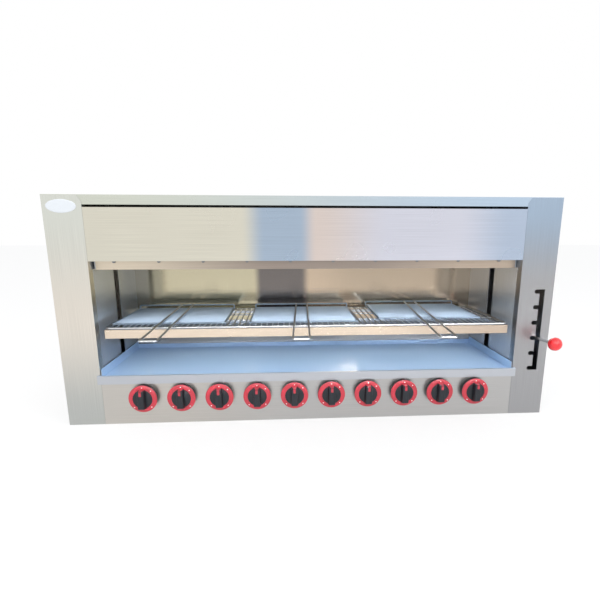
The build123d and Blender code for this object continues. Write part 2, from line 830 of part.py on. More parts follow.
# ================================================================ drip tray
tray_rear = chamber_rear - tray_rear_gap
tray_front = front + sheet
lip_top = tray_floor + tray_front_step
lip_face = front - lap_clearance - lip_stand_off - sheet
with BuildPart() as drip_tray:
    with Locations((0, (front + tray_rear) / 2, tray_floor + sheet / 2)):
        Box(2 * tray_half_width, tray_rear - front, sheet)
    for hand in for_both:
        with Locations((hand * (tray_half_width - sheet / 2), (front + tray_rear) / 2, tray_floor)):
            Box(
                sheet,
                tray_rear - front,
                tray_side_height,
                align=(Align.CENTER, Align.CENTER, Align.MIN),
            )
        # folded ends of the lip lie against the stiles
        with Locations((hand * (lip_half_width - sheet / 2), front - lap_clearance, lip_top)):
            Box(
                sheet,
                lip_stand_off + sheet,
                lip_height,
                align=(Align.CENTER, Align.MAX, Align.MAX),
            )
    with Locations((0, tray_rear - sheet / 2, tray_floor)):
        Box(
            2 * tray_half_width,
            sheet,
            tray_back_height,
            align=(Align.CENTER, Align.CENTER, Align.MIN),
        )
    lip_section = folded(
        Plane.YZ.offset(-tray_half_width),
        [(tray_front, tray_floor), (tray_front, lip_top), (lip_face, lip_top)],
        sheet,
        Side.LEFT,
    )
    extrude(lip_section, amount=2 * tray_half_width)
    with Locations((0, lip_face, lip_top)):
        Box(
            2 * lip_half_width,
            sheet,
            lip_height,
            align=(Align.CENTER, Align.MIN, Align.MAX),
        )
    with Locations((0, lip_face, lip_top)):
        Box(
            2 * lip_half_width,
            lip_stand_off + sheet,
            sheet,
            align=(Align.CENTER, Align.MIN, Align.MAX),
        )
save(drip_tray.part, "drip_tray")

# ================================================================ knobs
knob_base = front - knob_gap
ring_seat = knob_base - skirt_height
grip_radius = ring_inner_diameter / 2
for number, x in enumerate(knob_positions, start=1):
    with BuildPart() as knob:
        # skirt, hub and spindle
        with BuildSketch(Plane.XZ.offset(-knob_base)):
            with Locations((x, knob_height)):
                Circle(knob_diameter / 2 - skirt_inset)
        extrude(amount=skirt_height)
        with BuildSketch(Plane.XZ.offset(-ring_seat)):
            with Locations((x, knob_height)):
                Circle(grip_radius - lap_clearance)
        extrude(amount=ring_thickness + hub_rise)
        with BuildSketch(Plane.XZ.offset(-ring_seat + ring_thickness + hub_rise)):
            with Locations((x, knob_height)):
                Rectangle(grip_width, 2 * (grip_radius - grip_inset))
        extrude(amount=grip_height, taper=grip_taper)
        with BuildSketch(Plane.XZ.offset(-knob_base)):
            with Locations((x, knob_height)):
                Circle(spindle_diameter / 2)
        extrude(amount=-spindle_depth)
    save(knob.part, f"knob_{number}")

    with BuildPart() as knob_ring:
        with BuildSketch(Plane.XZ.offset(-ring_seat)):
            with Locations((x, knob_height)):
                Circle(knob_diameter / 2)
                Circle(grip_radius, mode=Mode.SUBTRACT)
        extrude(amount=ring_thickness)
        outer_edge = knob_ring.faces().sort_by(Axis.Y)[0].edges().sort_by(SortBy.RADIUS)[-1]
        chamfer(outer_edge, ring_thickness / 2)
    save(knob_ring.part, f"knob_ring_{number}")
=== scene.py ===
"""Dresses the overhead gas cheese melter: sheet finishes, moulded dials, a folded strip behind the drip
tray, a bare badge and the screws of the back cover."""

import math

import bmesh
import bpy
from bpy.props import FloatProperty, FloatVectorProperty, IntProperty, PointerProperty
from mathutils import Matrix, Vector


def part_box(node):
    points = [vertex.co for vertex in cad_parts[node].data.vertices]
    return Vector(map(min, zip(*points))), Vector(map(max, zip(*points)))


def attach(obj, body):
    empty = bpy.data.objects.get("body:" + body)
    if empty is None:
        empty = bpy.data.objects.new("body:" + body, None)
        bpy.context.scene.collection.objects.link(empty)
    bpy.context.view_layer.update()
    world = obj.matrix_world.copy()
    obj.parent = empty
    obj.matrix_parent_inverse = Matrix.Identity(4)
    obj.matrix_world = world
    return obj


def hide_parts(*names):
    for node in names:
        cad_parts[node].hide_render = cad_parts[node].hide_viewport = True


bl_info = {
    "name": "Cheese Melter Finishes",
    "version": (1, 0, 0),
    "blender": (4, 5, 0),
    "location": "View3D > Sidebar > Cheese Melter",
    "description": "Finishes, dials, strip, badge and screws for an overhead gas cheese melter",
    "category": "Object",
}

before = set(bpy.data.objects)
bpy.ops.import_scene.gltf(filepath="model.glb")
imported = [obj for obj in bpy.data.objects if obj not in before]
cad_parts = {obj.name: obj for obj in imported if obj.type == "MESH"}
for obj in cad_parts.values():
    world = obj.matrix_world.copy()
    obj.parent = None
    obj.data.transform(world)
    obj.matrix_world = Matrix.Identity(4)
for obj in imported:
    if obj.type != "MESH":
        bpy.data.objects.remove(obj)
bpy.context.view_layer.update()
DIAL_COUNT = sum(name.startswith("knob_ring_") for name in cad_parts)
MM = 0.001
# the colour sockets of a Mix node, which share their names with its other sockets
MIX_A, MIX_B, MIX_RESULT = 6, 7, 2


def to_linear(code):
    """An sRGB hex colour as linear RGBA."""
    channels = [int(code[i : i + 2], 16) / 255 for i in (1, 3, 5)]
    return tuple(c / 12.92 if c <= 0.04045 else ((c + 0.055) / 1.055) ** 2.4 for c in channels) + (1.0,)


def add_node(tree, kind, inputs=None, **settings):
    """Adds one node, with its settings, and its inputs as values or links."""
    made = tree.nodes.new(kind)
    for key, value in settings.items():
        setattr(made, key, value)
    for socket, value in (inputs or {}).items():
        if isinstance(value, bpy.types.NodeSocket):
            tree.links.new(value, made.inputs[socket])
        else:
            made.inputs[socket].default_value = value
    return made


def per_metre(spacing):
    """The scale of a pattern that repeats every so many millimetres."""
    return 1000 / spacing


# ------------------------------------------------------------------ sizes and colours a user would change
def millimetres(name, value, description):
    """A length property whose default is given in millimetres."""
    return FloatProperty(name=name, description=description, default=value * MM, unit="LENGTH", precision=4)


def watts(name, value, description):
    """The power of a lamp."""
    return FloatProperty(name=name, description=description, default=value, min=0.0, unit="POWER")


def shade(name, hex_code, description):
    """A colour property whose default is given as sRGB hex."""
    return FloatVectorProperty(
        name=name, description=description, default=to_linear(hex_code)[:3], subtype="COLOR", min=0.0, max=1.0
    )


class StageSettings(bpy.types.PropertyGroup):
    """Floor, light from all round and lamps"""

    floor_reach: millimetres("Floor reach", 12000.0, "From the origin to each edge of the floor")
    floor_white: FloatProperty(
        name="Floor white", description="Share of plain white in what the camera sees of the floor",
        default=0.65, min=0.0, max=1.0, subtype="FACTOR",
    )
    sky_colour: shade("Sky", "#F7F8FA", "Light from all round")
    sky_strength: FloatProperty(
        name="Sky strength", description="Strength of the light from all round", default=0.95, min=0.0
    )
    key_power: watts("Key lamp", 30.0, "Large lamp on the left")
    fill_power: watts("Fill lamp", 26.0, "Large lamp on the right")
    strip_power: watts("Strip lamp", 0.6, "Narrow lamp that looks in under the hood")


class DialSettings(bpy.types.PropertyGroup):
    """Sizes and colours of the ten dials"""

    skirt_radius: millimetres("Skirt radius", 33.0, "Radius of the black skirt behind the ring")
    skirt_depth: millimetres("Skirt depth", 12.5, "Depth of the black skirt")
    spindle_radius: millimetres("Spindle radius", 4.0, "Radius of the spindle into the control panel")
    spindle_length: millimetres("Spindle length", 33.0, "Length of the spindle behind the skirt")
    hub_rise: millimetres("Hub rise", 4.2, "From the ring's seat to the edge of the hub's face")
    ring_outer: millimetres("Ring outer radius", 34.0, "Outer radius of the red ring")
    ring_inner: millimetres("Ring inner radius", 23.5, "Inner radius of the red ring")
    grip_width: millimetres("Grip width", 15.0, "Width of the raised bar at its front")
    grip_rise: millimetres("Grip rise", 17.0, "Height of the raised bar above the hub")
    grip_top: millimetres("Grip top", 24.2, "From the dial's centre up to the raised bar's end")
    grip_foot: millimetres("Grip foot", 20.3, "From the dial's centre down to the raised bar's front edge")
    dot_radius: millimetres("Dot radius", 1.5, "Radius of each white setting dot")
    tick_length: millimetres("Tick length", 11.4, "Length of the red pointer on the bar's front")
    tick_width: millimetres("Tick width", 5.6, "Width of the red pointer on the bar's front")
    arrow_width: millimetres("Arrow width", 14.0, "Width of the red pointer where it meets the ring")
    body_colour: shade("Dial body", "#151A22", "Moulded body and grip")
    ring_colour: shade("Dial ring", "#B82C3C", "Moulded ring and pointer")
    print_colour: shade("Dial print", "#F2F2F0", "Printed setting dots")


class CasingSettings(bpy.types.PropertyGroup):
    """Badge, back screws and the colours of the outer sheet, whose tones are painted reflections"""

    badge_width: millimetres("Badge width", 65.5, "Long axis of the bare oval badge")
    badge_height: millimetres("Badge height", 29.5, "Short axis of the bare oval badge")
    badge_thickness: millimetres("Badge thickness", 1.4, "Rise of the badge from the stile")
    badge_inset: millimetres("Badge inset", 41.4, "From the stile's outer edge to the badge's centre")
    badge_level: millimetres("Badge level", 521.0, "From the floor up to the badge's centre")
    back_screws: IntProperty(name="Back screws", description="Screws in each row", default=7, min=2)
    screw_diameter: millimetres("Screw head", 8.0, "Diameter of the pan heads on the back")
    screw_inset: millimetres("Screw inset", 12.0, "From the back cover's sides to the end screws")
    foot_screws: millimetres("Lower screws", 30.0, "From the floor up to the lower row of screws")
    top_screws: millimetres("Upper screws", 530.0, "From the floor up to the upper row of screws")
    badge_colour: shade("Badge", "#D4D9DE", "Domed enamel of the bare badge")
    # the colours from here down to the panel are painted reflections of the surroundings: warm and cool tones
    # that drift along each piece, a darker painted band across the fascia and a darker foot on the left stile
    left_top: shade("Left stile, top", "#D7D9D1", "Brushed sheet at the head of the left stile")
    left_middle: shade("Left stile, middle", "#E0D9CE", "Brushed sheet halfway up the left stile")
    left_foot: shade("Left stile, foot", "#B9BBB8", "Brushed sheet at the foot of the left stile")
    right_top: shade("Right stile, top", "#A4B5C8", "Brushed sheet at the head of the right stile")
    right_foot: shade("Right stile, foot", "#A6A6A8", "Brushed sheet at the foot of the right stile")
    rail_left: shade("Top rail, left", "#D2D5C9", "Brushed sheet of the top cover on the left")
    rail_right: shade("Top rail, right", "#B9CBDD", "Brushed sheet of the top cover on the right")
    fascia_warm: shade("Fascia, warm", "#D8D4C5", "Brushed hood sheet on its left half")
    fascia_streak: shade("Fascia, streak", "#A6B6C8", "Darker band in the hood sheet's sheen")
    fascia_blush: shade("Fascia, blush", "#D8CBC4", "Hood sheet right of the darker band")
    fascia_lilac: shade("Fascia, pale", "#D1D2DD", "Hood sheet on its right half")
    fascia_cool: shade("Fascia, cool", "#B4C1D4", "Hood sheet at its right end")
    panel_left: shade("Panel, left", "#C4C0BA", "Brushed control panel on the left")
    panel_right: shade("Panel, right", "#B9B8B7", "Brushed control panel from its middle to the right")
    zinc: shade("Zinc", "#A9ABAC", "Zinc-plated steel of the back, base and brackets")


class ChamberSettings(bpy.types.PropertyGroup):
    """Folded strip, and the colours of the chamber, its fittings and the lever; the chamber's sheet colours
    are painted reflections
    """

    strip_top: millimetres("Strip top", 196.0, "From the floor up to the folded strip's upper edge")
    strip_fold: millimetres("Strip fold", 186.0, "From the floor up to the folded strip's upper fold")
    strip_sheet: millimetres("Strip sheet", 0.8, "Thickness of the folded strip")
    # the colours from here down to the carriage are painted reflections of the surroundings: tones that drift
    # along each sheet, a darker painted band across the rear wall, the rear wall painted darker at its left
    # end towards the corner, and the right wall painted lighter than the left
    rear_end: shade("Rear wall, left end", "#ACA798", "Bright sheet of the rear wall at its left end")
    rear_left: shade("Rear wall, left", "#C9C0A4", "Bright sheet of the rear wall on the left")
    rear_middle: shade("Rear wall, middle", "#CBB7A0", "Bright sheet of the rear wall right of the streak")
    rear_streak: shade("Rear wall, streak", "#78726F", "Darker band in the rear wall's sheen")
    rear_right: shade("Rear wall, right", "#BBAA95", "Bright sheet of the rear wall on the right")
    wall: shade("Left wall", "#C4C9CF", "Bright sheet of the left inner wall")
    wall_right: shade("Right wall", "#DADFE5", "Bright sheet of the right inner wall")
    rail_left: shade("Burner rail, left", "#DBCEBA", "Bright sheet of the front burner rail at its left end")
    rail_middle: shade("Burner rail, middle", "#9F938A", "Bright sheet of the front burner rail's middle")
    rail_right: shade("Burner rail, right", "#BBAB9B", "Bright sheet of the front burner rail's right end")
    band_left: shade("Carriage, left", "#DECDBA", "Bright sheet of the rack carriage on the left")
    band_right: shade("Carriage, right", "#BFAE9D", "Bright sheet of the rack carriage on the right")
    film: shade("Tray film", "#BCDCFF", "Blue peel-off film that covers the tray's floor")
    tray_steel: shade("Tray steel", "#BCBFC5", "Bare brushed steel of the tray's lip")
    grid_wire: shade("Grid wire", "#A2B4C8", "Plated wire of the three grids")
    rack_wire: shade("Rack wire", "#B4B6B9", "Plated wire of the rack and handles")
    chrome: shade("Chrome", "#D4D6D8", "Polished rods and pivot")
    ball: shade("Ball", "#DC0E1A", "Glossy moulded ball of the lever")
    brass: shade("Brass", "#C29A54", "Machined gas fittings")
    tube: shade("Tube", "#8A8C8E", "Drawn steel gas tube and the burner bolts")
    ceramic: shade("Ceramic", "#D9CBA8", "Fired burner plaques")


# ------------------------------------------------------------------ materials
def new_material(name, colour, metallic, roughness, coat=0.0):
    """A material with one shader; returns it with its node tree and that shader."""
    material = bpy.data.materials.new(name)
    material.use_nodes = True
    shader = material.node_tree.nodes["Principled BSDF"]
    shader.inputs["Base Color"].default_value = (*colour, 1.0)
    shader.inputs["Metallic"].default_value = metallic
    shader.inputs["Roughness"].default_value = roughness
    shader.inputs["Coat Weight"].default_value = coat
    return material, material.node_tree, shader


def drifting_tone(tree, position, tones):
    """Colour that eases along one axis through tones, which are (millimetres, colour) pairs: where the tones
    differ, a painted reflection of the surroundings.
    """
    start, end = tones[0][0], tones[-1][0]
    along = add_node(
        tree, "ShaderNodeMapRange", {"Value": position, "From Min": start * MM, "From Max": end * MM}
    )
    ramp = add_node(tree, "ShaderNodeValToRGB", {"Fac": along.outputs["Result"]})
    ramp.color_ramp.interpolation = "EASE"
    stops = ramp.color_ramp.elements
    while len(stops) < len(tones):
        stops.new(0.5)
    for stop, (spot, colour) in zip(stops, tones):
        stop.position = (spot - start) / (end - start)
        stop.color = (*colour, 1.0)
    return ramp.outputs[0]


def metal_sheet(name, axis, tones, *, grain, roughness, depth, metallic=1.0, behind=None, painted_streaks=None):
    """Stainless or zinc-plated sheet, rolled or belt-brushed: fine parallel scratches, and a painted
    reflection that drifts in colour along one axis, as drifting_tone says. grain is the axis of the
    scratches, and painted_streaks that of painted reflection streak lines, where they run another way. behind
    is (millimetres, colour): sheet that lies further back than that has this painted reflection colour
    instead."""
    material, tree, shader = new_material(name, tones[0][1], metallic, roughness)
    place = add_node(tree, "ShaderNodeTexCoord").outputs["Object"]
    split = add_node(tree, "ShaderNodeSeparateXYZ", {"Vector": place})
    # the tone along the axis is a painted reflection of the surroundings
    toned = drifting_tone(tree, split.outputs[axis], tones)
    # sheet further back gets a second painted reflection colour
    if behind:
        limit, hidden = behind
        beyond = add_node(
            tree, "ShaderNodeMath", {0: split.outputs["Y"], 1: limit * MM}, operation="GREATER_THAN"
        )
        toned = add_node(
            tree, "ShaderNodeMix", {0: beyond.outputs[0], MIX_A: toned, MIX_B: (*hidden, 1.0)},
            data_type="RGBA",
        ).outputs[MIX_RESULT]
    # about 0.05 mm apart on the real sheet; drawn 1 mm apart, and six to a metre in length, so that they show
    scratch_gap, scratch_length = 1.0, 1000 / 6
    lines = {}
    for way in sorted({grain, painted_streaks or grain}):
        stretch = [per_metre(scratch_length if letter == way else scratch_gap) for letter in "XYZ"]
        drawn = add_node(tree, "ShaderNodeMapping", {"Vector": place, "Scale": stretch})
        lines[way] = add_node(
            tree, "ShaderNodeTexNoise", {"Vector": drawn.outputs[0], "Scale": 1.0, "Detail": 3.0}
        ).outputs[0]
    # the lines lighten and darken the colour: grain along the scratches, and painted reflection streak lines
    # where painted_streaks sets another axis
    grain_and_reflection_lines = add_node(
        tree, "ShaderNodeMapRange",
        {"Value": lines[painted_streaks or grain], "From Min": 0.3, "From Max": 0.7, "To Min": 0.92, "To Max": 1.05},
    )
    coloured = add_node(
        tree, "ShaderNodeMix", {0: 1.0, MIX_A: toned, MIX_B: grain_and_reflection_lines.outputs[0]},
        data_type="RGBA", blend_type="MULTIPLY",
    )
    # cleaning leaves cloudy patches, nine to a metre, a little duller or brighter than the rest
    cloud_width = 1000 / 9
    clouds = add_node(
        tree, "ShaderNodeTexNoise", {"Vector": place, "Scale": per_metre(cloud_width), "Detail": 2.0}
    )
    uneven = add_node(
        tree, "ShaderNodeMapRange",
        {"Value": clouds.outputs[0], "To Min": max(0.03, roughness - 0.05), "To Max": roughness + 0.07},
    )
    bump = add_node(tree, "ShaderNodeBump", {"Height": lines[grain], "Strength": depth, "Distance": 0.4 * MM})
    tree.links.new(coloured.outputs[MIX_RESULT], shader.inputs["Base Color"])
    tree.links.new(uneven.outputs[0], shader.inputs["Roughness"])
    tree.links.new(bump.outputs[0], shader.inputs["Normal"])
    return material


def filmed_steel(name, film, steel, edge):
    """Stainless tray under blue peel-off film: flat blue, a milky haze at low angles, and slight ripples.
    In front of edge, in millimetres, the folded lip is bare brushed steel."""
    material, tree, shader = new_material(name, film, metallic=0.0, roughness=0.3, coat=0.5)
    shader.inputs["Sheen Weight"].default_value = 1.0
    shader.inputs["Sheen Roughness"].default_value = 0.45
    shader.inputs["Sheen Tint"].default_value = (*film, 1.0)
    place = add_node(tree, "ShaderNodeTexCoord").outputs["Object"]
    split = add_node(tree, "ShaderNodeSeparateXYZ", {"Vector": place})
    bare = add_node(
        tree, "ShaderNodeMath", {0: split.outputs["Y"], 1: edge * MM}, operation="LESS_THAN"
    ).outputs[0]
    cover = add_node(
        tree, "ShaderNodeMix", {0: bare, MIX_A: (*film, 1.0), MIX_B: (*steel, 1.0)}, data_type="RGBA"
    )
    metal = add_node(tree, "ShaderNodeMapRange", {"Value": bare, "To Min": 0.1, "To Max": 1.0})
    gloss = add_node(tree, "ShaderNodeMapRange", {"Value": bare, "To Min": 0.22, "To Max": 0.36})
    ripple_length = 62.5
    ripples = add_node(
        tree, "ShaderNodeTexNoise", {"Vector": place, "Scale": per_metre(ripple_length), "Detail": 2.0}
    )
    bump = add_node(
        tree, "ShaderNodeBump", {"Height": ripples.outputs[0], "Strength": 0.25, "Distance": 1.5 * MM}
    )
    tree.links.new(cover.outputs[MIX_RESULT], shader.inputs["Base Color"])
    tree.links.new(metal.outputs[0], shader.inputs["Metallic"])
    tree.links.new(gloss.outputs[0], shader.inputs["Roughness"])
    tree.links.new(bump.outputs[0], shader.inputs["Normal"])
    return material


def moulded_plastic(name, colour, roughness, coat, grit):
    """Injection-moulded plastic, ink or enamel: a faint texture under a little gloss. The real grit is finer
    than 0.1 mm; it is drawn grit millimetres apart so that it shows."""
    material, tree, shader = new_material(name, colour, 0.0, roughness, coat)
    place = add_node(tree, "ShaderNodeTexCoord").outputs["Object"]
    grains = add_node(tree, "ShaderNodeTexNoise", {"Vector": place, "Scale": per_metre(grit), "Detail": 2.0})
    bump = add_node(
        tree, "ShaderNodeBump", {"Height": grains.outputs[0], "Strength": 0.12, "Distance": 0.2 * MM}
    )
    tree.links.new(bump.outputs[0], shader.inputs["Normal"])
    return material


def plated_metal(name, colour, roughness):
    """Plated, drawn or machined metal: a close shine, dulled in patches by handling."""
    material, tree, shader = new_material(name, colour, 1.0, roughness)
    place = add_node(tree, "ShaderNodeTexCoord").outputs["Object"]
    patch_width = 1000 / 60  # sixty to a metre
    dulling = add_node(
        tree, "ShaderNodeTexNoise", {"Vector": place, "Scale": per_metre(patch_width), "Detail": 3.0}
    )
    spread = add_node(
        tree, "ShaderNodeMapRange",
        {"Value": dulling.outputs[0], "To Min": max(0.02, roughness - 0.06), "To Max": roughness + 0.1},
    )
    tree.links.new(spread.outputs[0], shader.inputs["Roughness"])
    return material


def fired_ceramic(name, colour):
    """Pressed and fired burner plaque: matt, with a close field of round ports painted dark as the shade
    inside them.
    """
    material, tree, shader = new_material(name, colour, 0.0, 0.9)
    place = add_node(tree, "ShaderNodeTexCoord").outputs["Object"]
    spacing, port_radius, land_radius = 3.0, 0.54, 0.72
    ports = add_node(
        tree, "ShaderNodeTexVoronoi", {"Vector": place, "Scale": per_metre(spacing), "Randomness": 0.0}
    )
    ramp = add_node(tree, "ShaderNodeValToRGB", {"Fac": ports.outputs["Distance"]})
    # the ports' dark colour is painted shade inside the holes
    port_shade, land = ramp.color_ramp.elements
    port_shade.position, port_shade.color = port_radius / spacing, to_linear("#3A322A")
    land.position, land.color = land_radius / spacing, (*colour, 1.0)
    tree.links.new(ramp.outputs[0], shader.inputs["Base Color"])
    return material


def casing_materials(case):
    """Brushed sheet of the casing, one for each piece whose painted reflection drifts in its own way, and its
    trim.
    """
    left = ((20, case.left_foot), (270, case.left_middle), (520, case.left_top))
    right = ((20, case.right_foot), (330, case.right_foot), (520, case.right_top))
    rail = ((-500, case.rail_left), (500, case.rail_right))
    hood = (
        (-480, case.fascia_warm), (-165, case.fascia_warm),
        (-110, case.fascia_streak), (-30, case.fascia_streak),
        (10, case.fascia_blush), (190, case.fascia_lilac), (340, case.fascia_lilac), (480, case.fascia_cool),
    )
    panel = ((-400, case.panel_left), (0, case.panel_right), (500, case.panel_right))
    zinc = ((-600, case.zinc), (600, case.zinc))
    return {
        "stile_left": metal_sheet(
            "brushed_stainless_left_stile", "Z", left, grain="Z", roughness=0.30, depth=0.16
        ),
        "stile_right": metal_sheet(
            "brushed_stainless_right_stile", "Z", right, grain="Z", roughness=0.30, depth=0.16
        ),
        "top": metal_sheet("brushed_stainless_top", "X", rail, grain="X", roughness=0.28, depth=0.16),
        "fascia": metal_sheet("brushed_stainless_fascia", "X", hood, grain="X", roughness=0.28, depth=0.16),
        "panel": metal_sheet("brushed_stainless_panel", "X", panel, grain="X", roughness=0.34, depth=0.16),
        "zinc": metal_sheet("zinc_plated_steel", "X", zinc, grain="Z", roughness=0.42, depth=0.20),
        "badge": moulded_plastic("domed_white_enamel", case.badge_colour, roughness=0.12, coat=0.8, grit=3.0),
    }


def chamber_materials(inside):
    """Bright sheet, wire and fittings of the chamber, and the lever."""
    # the sheet tones below are painted reflections; the rear wall is painted darker at its left end and in a
    # band left of its middle
    rear = (
        (-490, inside.rear_end), (-455, inside.rear_left), (-165, inside.rear_left),
        (-140, inside.rear_streak), (-18, inside.rear_streak),
        (10, inside.rear_middle), (170, inside.rear_right), (460, inside.rear_right),
    )
    walls = ((-520, inside.wall), (520, inside.wall_right))
    rail = (
        (-500, inside.rail_left), (-60, inside.rail_middle),
        (120, inside.rail_middle), (420, inside.rail_right),
    )
    band = ((-500, inside.band_left), (120, inside.band_left), (500, inside.band_right))
    return {
        # the rear wall's lines run upright across its scratches: painted reflection streak lines
        "rear": metal_sheet(
            "bright_stainless_rear_wall", "X", rear,
            grain="X", roughness=0.08, depth=0.18, metallic=0.92, painted_streaks="Z",
        ),
        "inner": metal_sheet(
            "bright_stainless_inner_walls", "X", walls, grain="Z", roughness=0.2, depth=0.08, metallic=0.55
        ),
        "rail": metal_sheet("bright_stainless_burner_rail", "X", rail, grain="X", roughness=0.30, depth=0.14),
        # the carriage's sheet further back than its front band gets the left wall's painted reflection colour
        "carriage": metal_sheet(
            "bright_stainless_carriage", "X", band,
            grain="X", roughness=0.24, depth=0.12, metallic=0.8, behind=(-160, inside.wall),
        ),
        "tray": filmed_steel("filmed_stainless_tray", inside.film, inside.tray_steel, edge=-199.5),
        "grid": plated_metal("nickel_plated_grid_wire", inside.grid_wire, roughness=0.42),
        "wire": plated_metal("nickel_plated_rack_wire", inside.rack_wire, roughness=0.34),
        "chrome": plated_metal("polished_chrome", inside.chrome, roughness=0.18),
        "brass": plated_metal("machined_brass", inside.brass, roughness=0.30),
        "tube": plated_metal("drawn_steel_tube", inside.tube, roughness=0.38),
        "ball": moulded_plastic("glossy_red_ball", inside.ball, roughness=0.12, coat=0.9, grit=2.0),
        "ceramic": fired_ceramic("fired_ceramic_plaque", inside.ceramic),
    }


def dial_materials(dial):
    """Plastics and ink of the dials."""
    return {
        "knob": moulded_plastic(
            "moulded_phenolic_black", dial.body_colour, roughness=0.5, coat=0.0, grit=0.5
        ),
        "ring": moulded_plastic("moulded_red_ring", dial.ring_colour, roughness=0.32, coat=0.3, grit=0.8),
        "white": moulded_plastic("printed_white_ink", dial.print_colour, roughness=0.45, coat=0.1, grit=0.6),
    }


MATERIALS = {}


def finish_of(node):
    """The finish of a CAD node: that of the first start below that fits its name, or else zinc."""
    starts = (
        ("knob_ring", "ring"), ("knob_", "knob"), ("grill_grid", "grid"), ("grid_handle", "wire"),
        ("wire_rack", "wire"), ("lever_rod", "chrome"), ("lever_ball", "ball"), ("lever_pivot", "chrome"),
        ("guide_rods", "chrome"), ("burner_bolts", "tube"), ("burner_tiles", "ceramic"),
        ("burner_rail", "rail"), ("burner_housings", "inner"), ("burner_injectors", "brass"),
        ("gas_manifold", "tube"), ("gas_", "brass"), ("inlet_", "brass"), ("feed_pipes", "tube"),
        ("left_side_casing", "stile_left"), ("right_side_casing", "stile_right"), ("top_cover", "top"),
        ("hood_fascia", "fascia"), ("control_panel", "panel"), ("rear_inner_wall", "rear"),
        ("left_inner_wall", "inner"), ("right_inner_wall", "inner"), ("drip_tray", "tray"),
        ("carriage_frame", "carriage"),
    )
    return next((finish for start, finish in starts if node.startswith(start)), "zinc")


# ------------------------------------------------------------------ mesh helpers
def finished(name, mesh, material, body):
    """Puts a mesh in the scene at the origin, with its finish and the body it rides on."""
    piece = bpy.data.objects.new(name, mesh)
    bpy.context.scene.collection.objects.link(piece)
    mesh.materials.clear()
    mesh.materials.append(MATERIALS[material])
    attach(piece, body)
    return piece


def smoothed(shape, name, sharp):
    """Turns a bmesh into a mesh that is smooth but for its edges of more than sharp degrees."""
    mesh = bpy.data.meshes.new(name)
    shape.to_mesh(mesh)
    shape.free()
    for face in mesh.polygons:
        face.use_smooth = True
    mesh.set_sharp_from_angle(angle=math.radians(sharp))
    return mesh


def turned(profile, centre, steps=64):
    """A closed turned shape about the -Y axis through centre, from (radius, reach) pairs."""
    shape = bmesh.new()
    rings = []
    for radius, reach in profile:
        if radius == 0:
            rings.append([shape.verts.new(centre + Vector((0, -reach, 0)))])
            continue
        ring = []
        for i in range(steps):
            turn = 2 * math.pi * i / steps
            spot = Vector((radius * math.cos(turn), -reach, radius * math.sin(turn)))
            ring.append(shape.verts.new(centre + spot))
        rings.append(ring)
    hollow = len(rings[0]) > 1 and len(rings[-1]) > 1
    pairs = list(zip(rings, rings[1:])) + ([(rings[-1], rings[0])] if hollow else [])
    for near, far in pairs:
        for i in range(steps):
            j = (i + 1) % steps
            corners = [near[i % len(near)], near[j % len(near)], far[j % len(far)], far[i % len(far)]]
            unique = list(dict.fromkeys(corners))
            if len(unique) > 2:
                shape.faces.new(unique)
    bmesh.ops.recalc_face_normals(shape, faces=shape.faces)
    return smoothed(shape, "turned", 35)


def lofted(centre, ends, radius):
    """A bar between two rectangles that face -Y, with rounded edges.
    Each end is (reach, half width, low, high) from centre."""
    shape = bmesh.new()
    inner, outer = [
        [
            shape.verts.new(centre + Vector((side * half, -reach, level)))
            for side, level in ((-1, low), (1, low), (1, high), (-1, high))
        ]
        for reach, half, low, high in ends
    ]
    shape.faces.new(inner)
    shape.faces.new(outer[::-1])
    for i in range(4):
        j = (i + 1) % 4
        shape.faces.new([inner[i], inner[j], outer[j], outer[i]])
    bmesh.ops.recalc_face_normals(shape, faces=shape.faces)
    bmesh.ops.bevel(shape, geom=list(shape.edges), offset=radius, segments=4, profile=0.5, affect="EDGES")
    bmesh.ops.recalc_face_normals(shape, faces=shape.faces)
    return smoothed(shape, "bar", 40)


def joined(meshes):
    """Several meshes as one."""
    whole = bmesh.new()
    for mesh in meshes:
        whole.from_mesh(mesh)
    result = bpy.data.meshes.new("joined")
    whole.to_mesh(result)
    whole.free()
    for mesh in meshes:
        bpy.data.meshes.remove(mesh)
    return result


# ------------------------------------------------------------------ geometry nodes
def new_tree(name, sockets):
    """A geometry tree with the given (title, kind, default) inputs, and its input and output nodes."""
    tree = bpy.data.node_groups.new(name, "GeometryNodeTree")
    tree.interface.new_socket("Geometry", in_out="OUTPUT", socket_type="NodeSocketGeometry")
    for title, kind, value in sockets:
        socket = tree.interface.new_socket(title, in_out="INPUT", socket_type=kind)
        socket.default_value = value
    return tree, tree.nodes.new("NodeGroupInput"), tree.nodes.new("NodeGroupOutput")


def set_out(tree, geometry, material, out):
    """Ends a tree with real geometry and its finish."""
    real = add_node(tree, "GeometryNodeRealizeInstances", {"Geometry": geometry})
    coated = add_node(
        tree, "GeometryNodeSetMaterial", {"Geometry": real.outputs[0], "Material": MATERIALS[material]}
    )
    tree.links.new(coated.outputs[0], out.inputs[0])


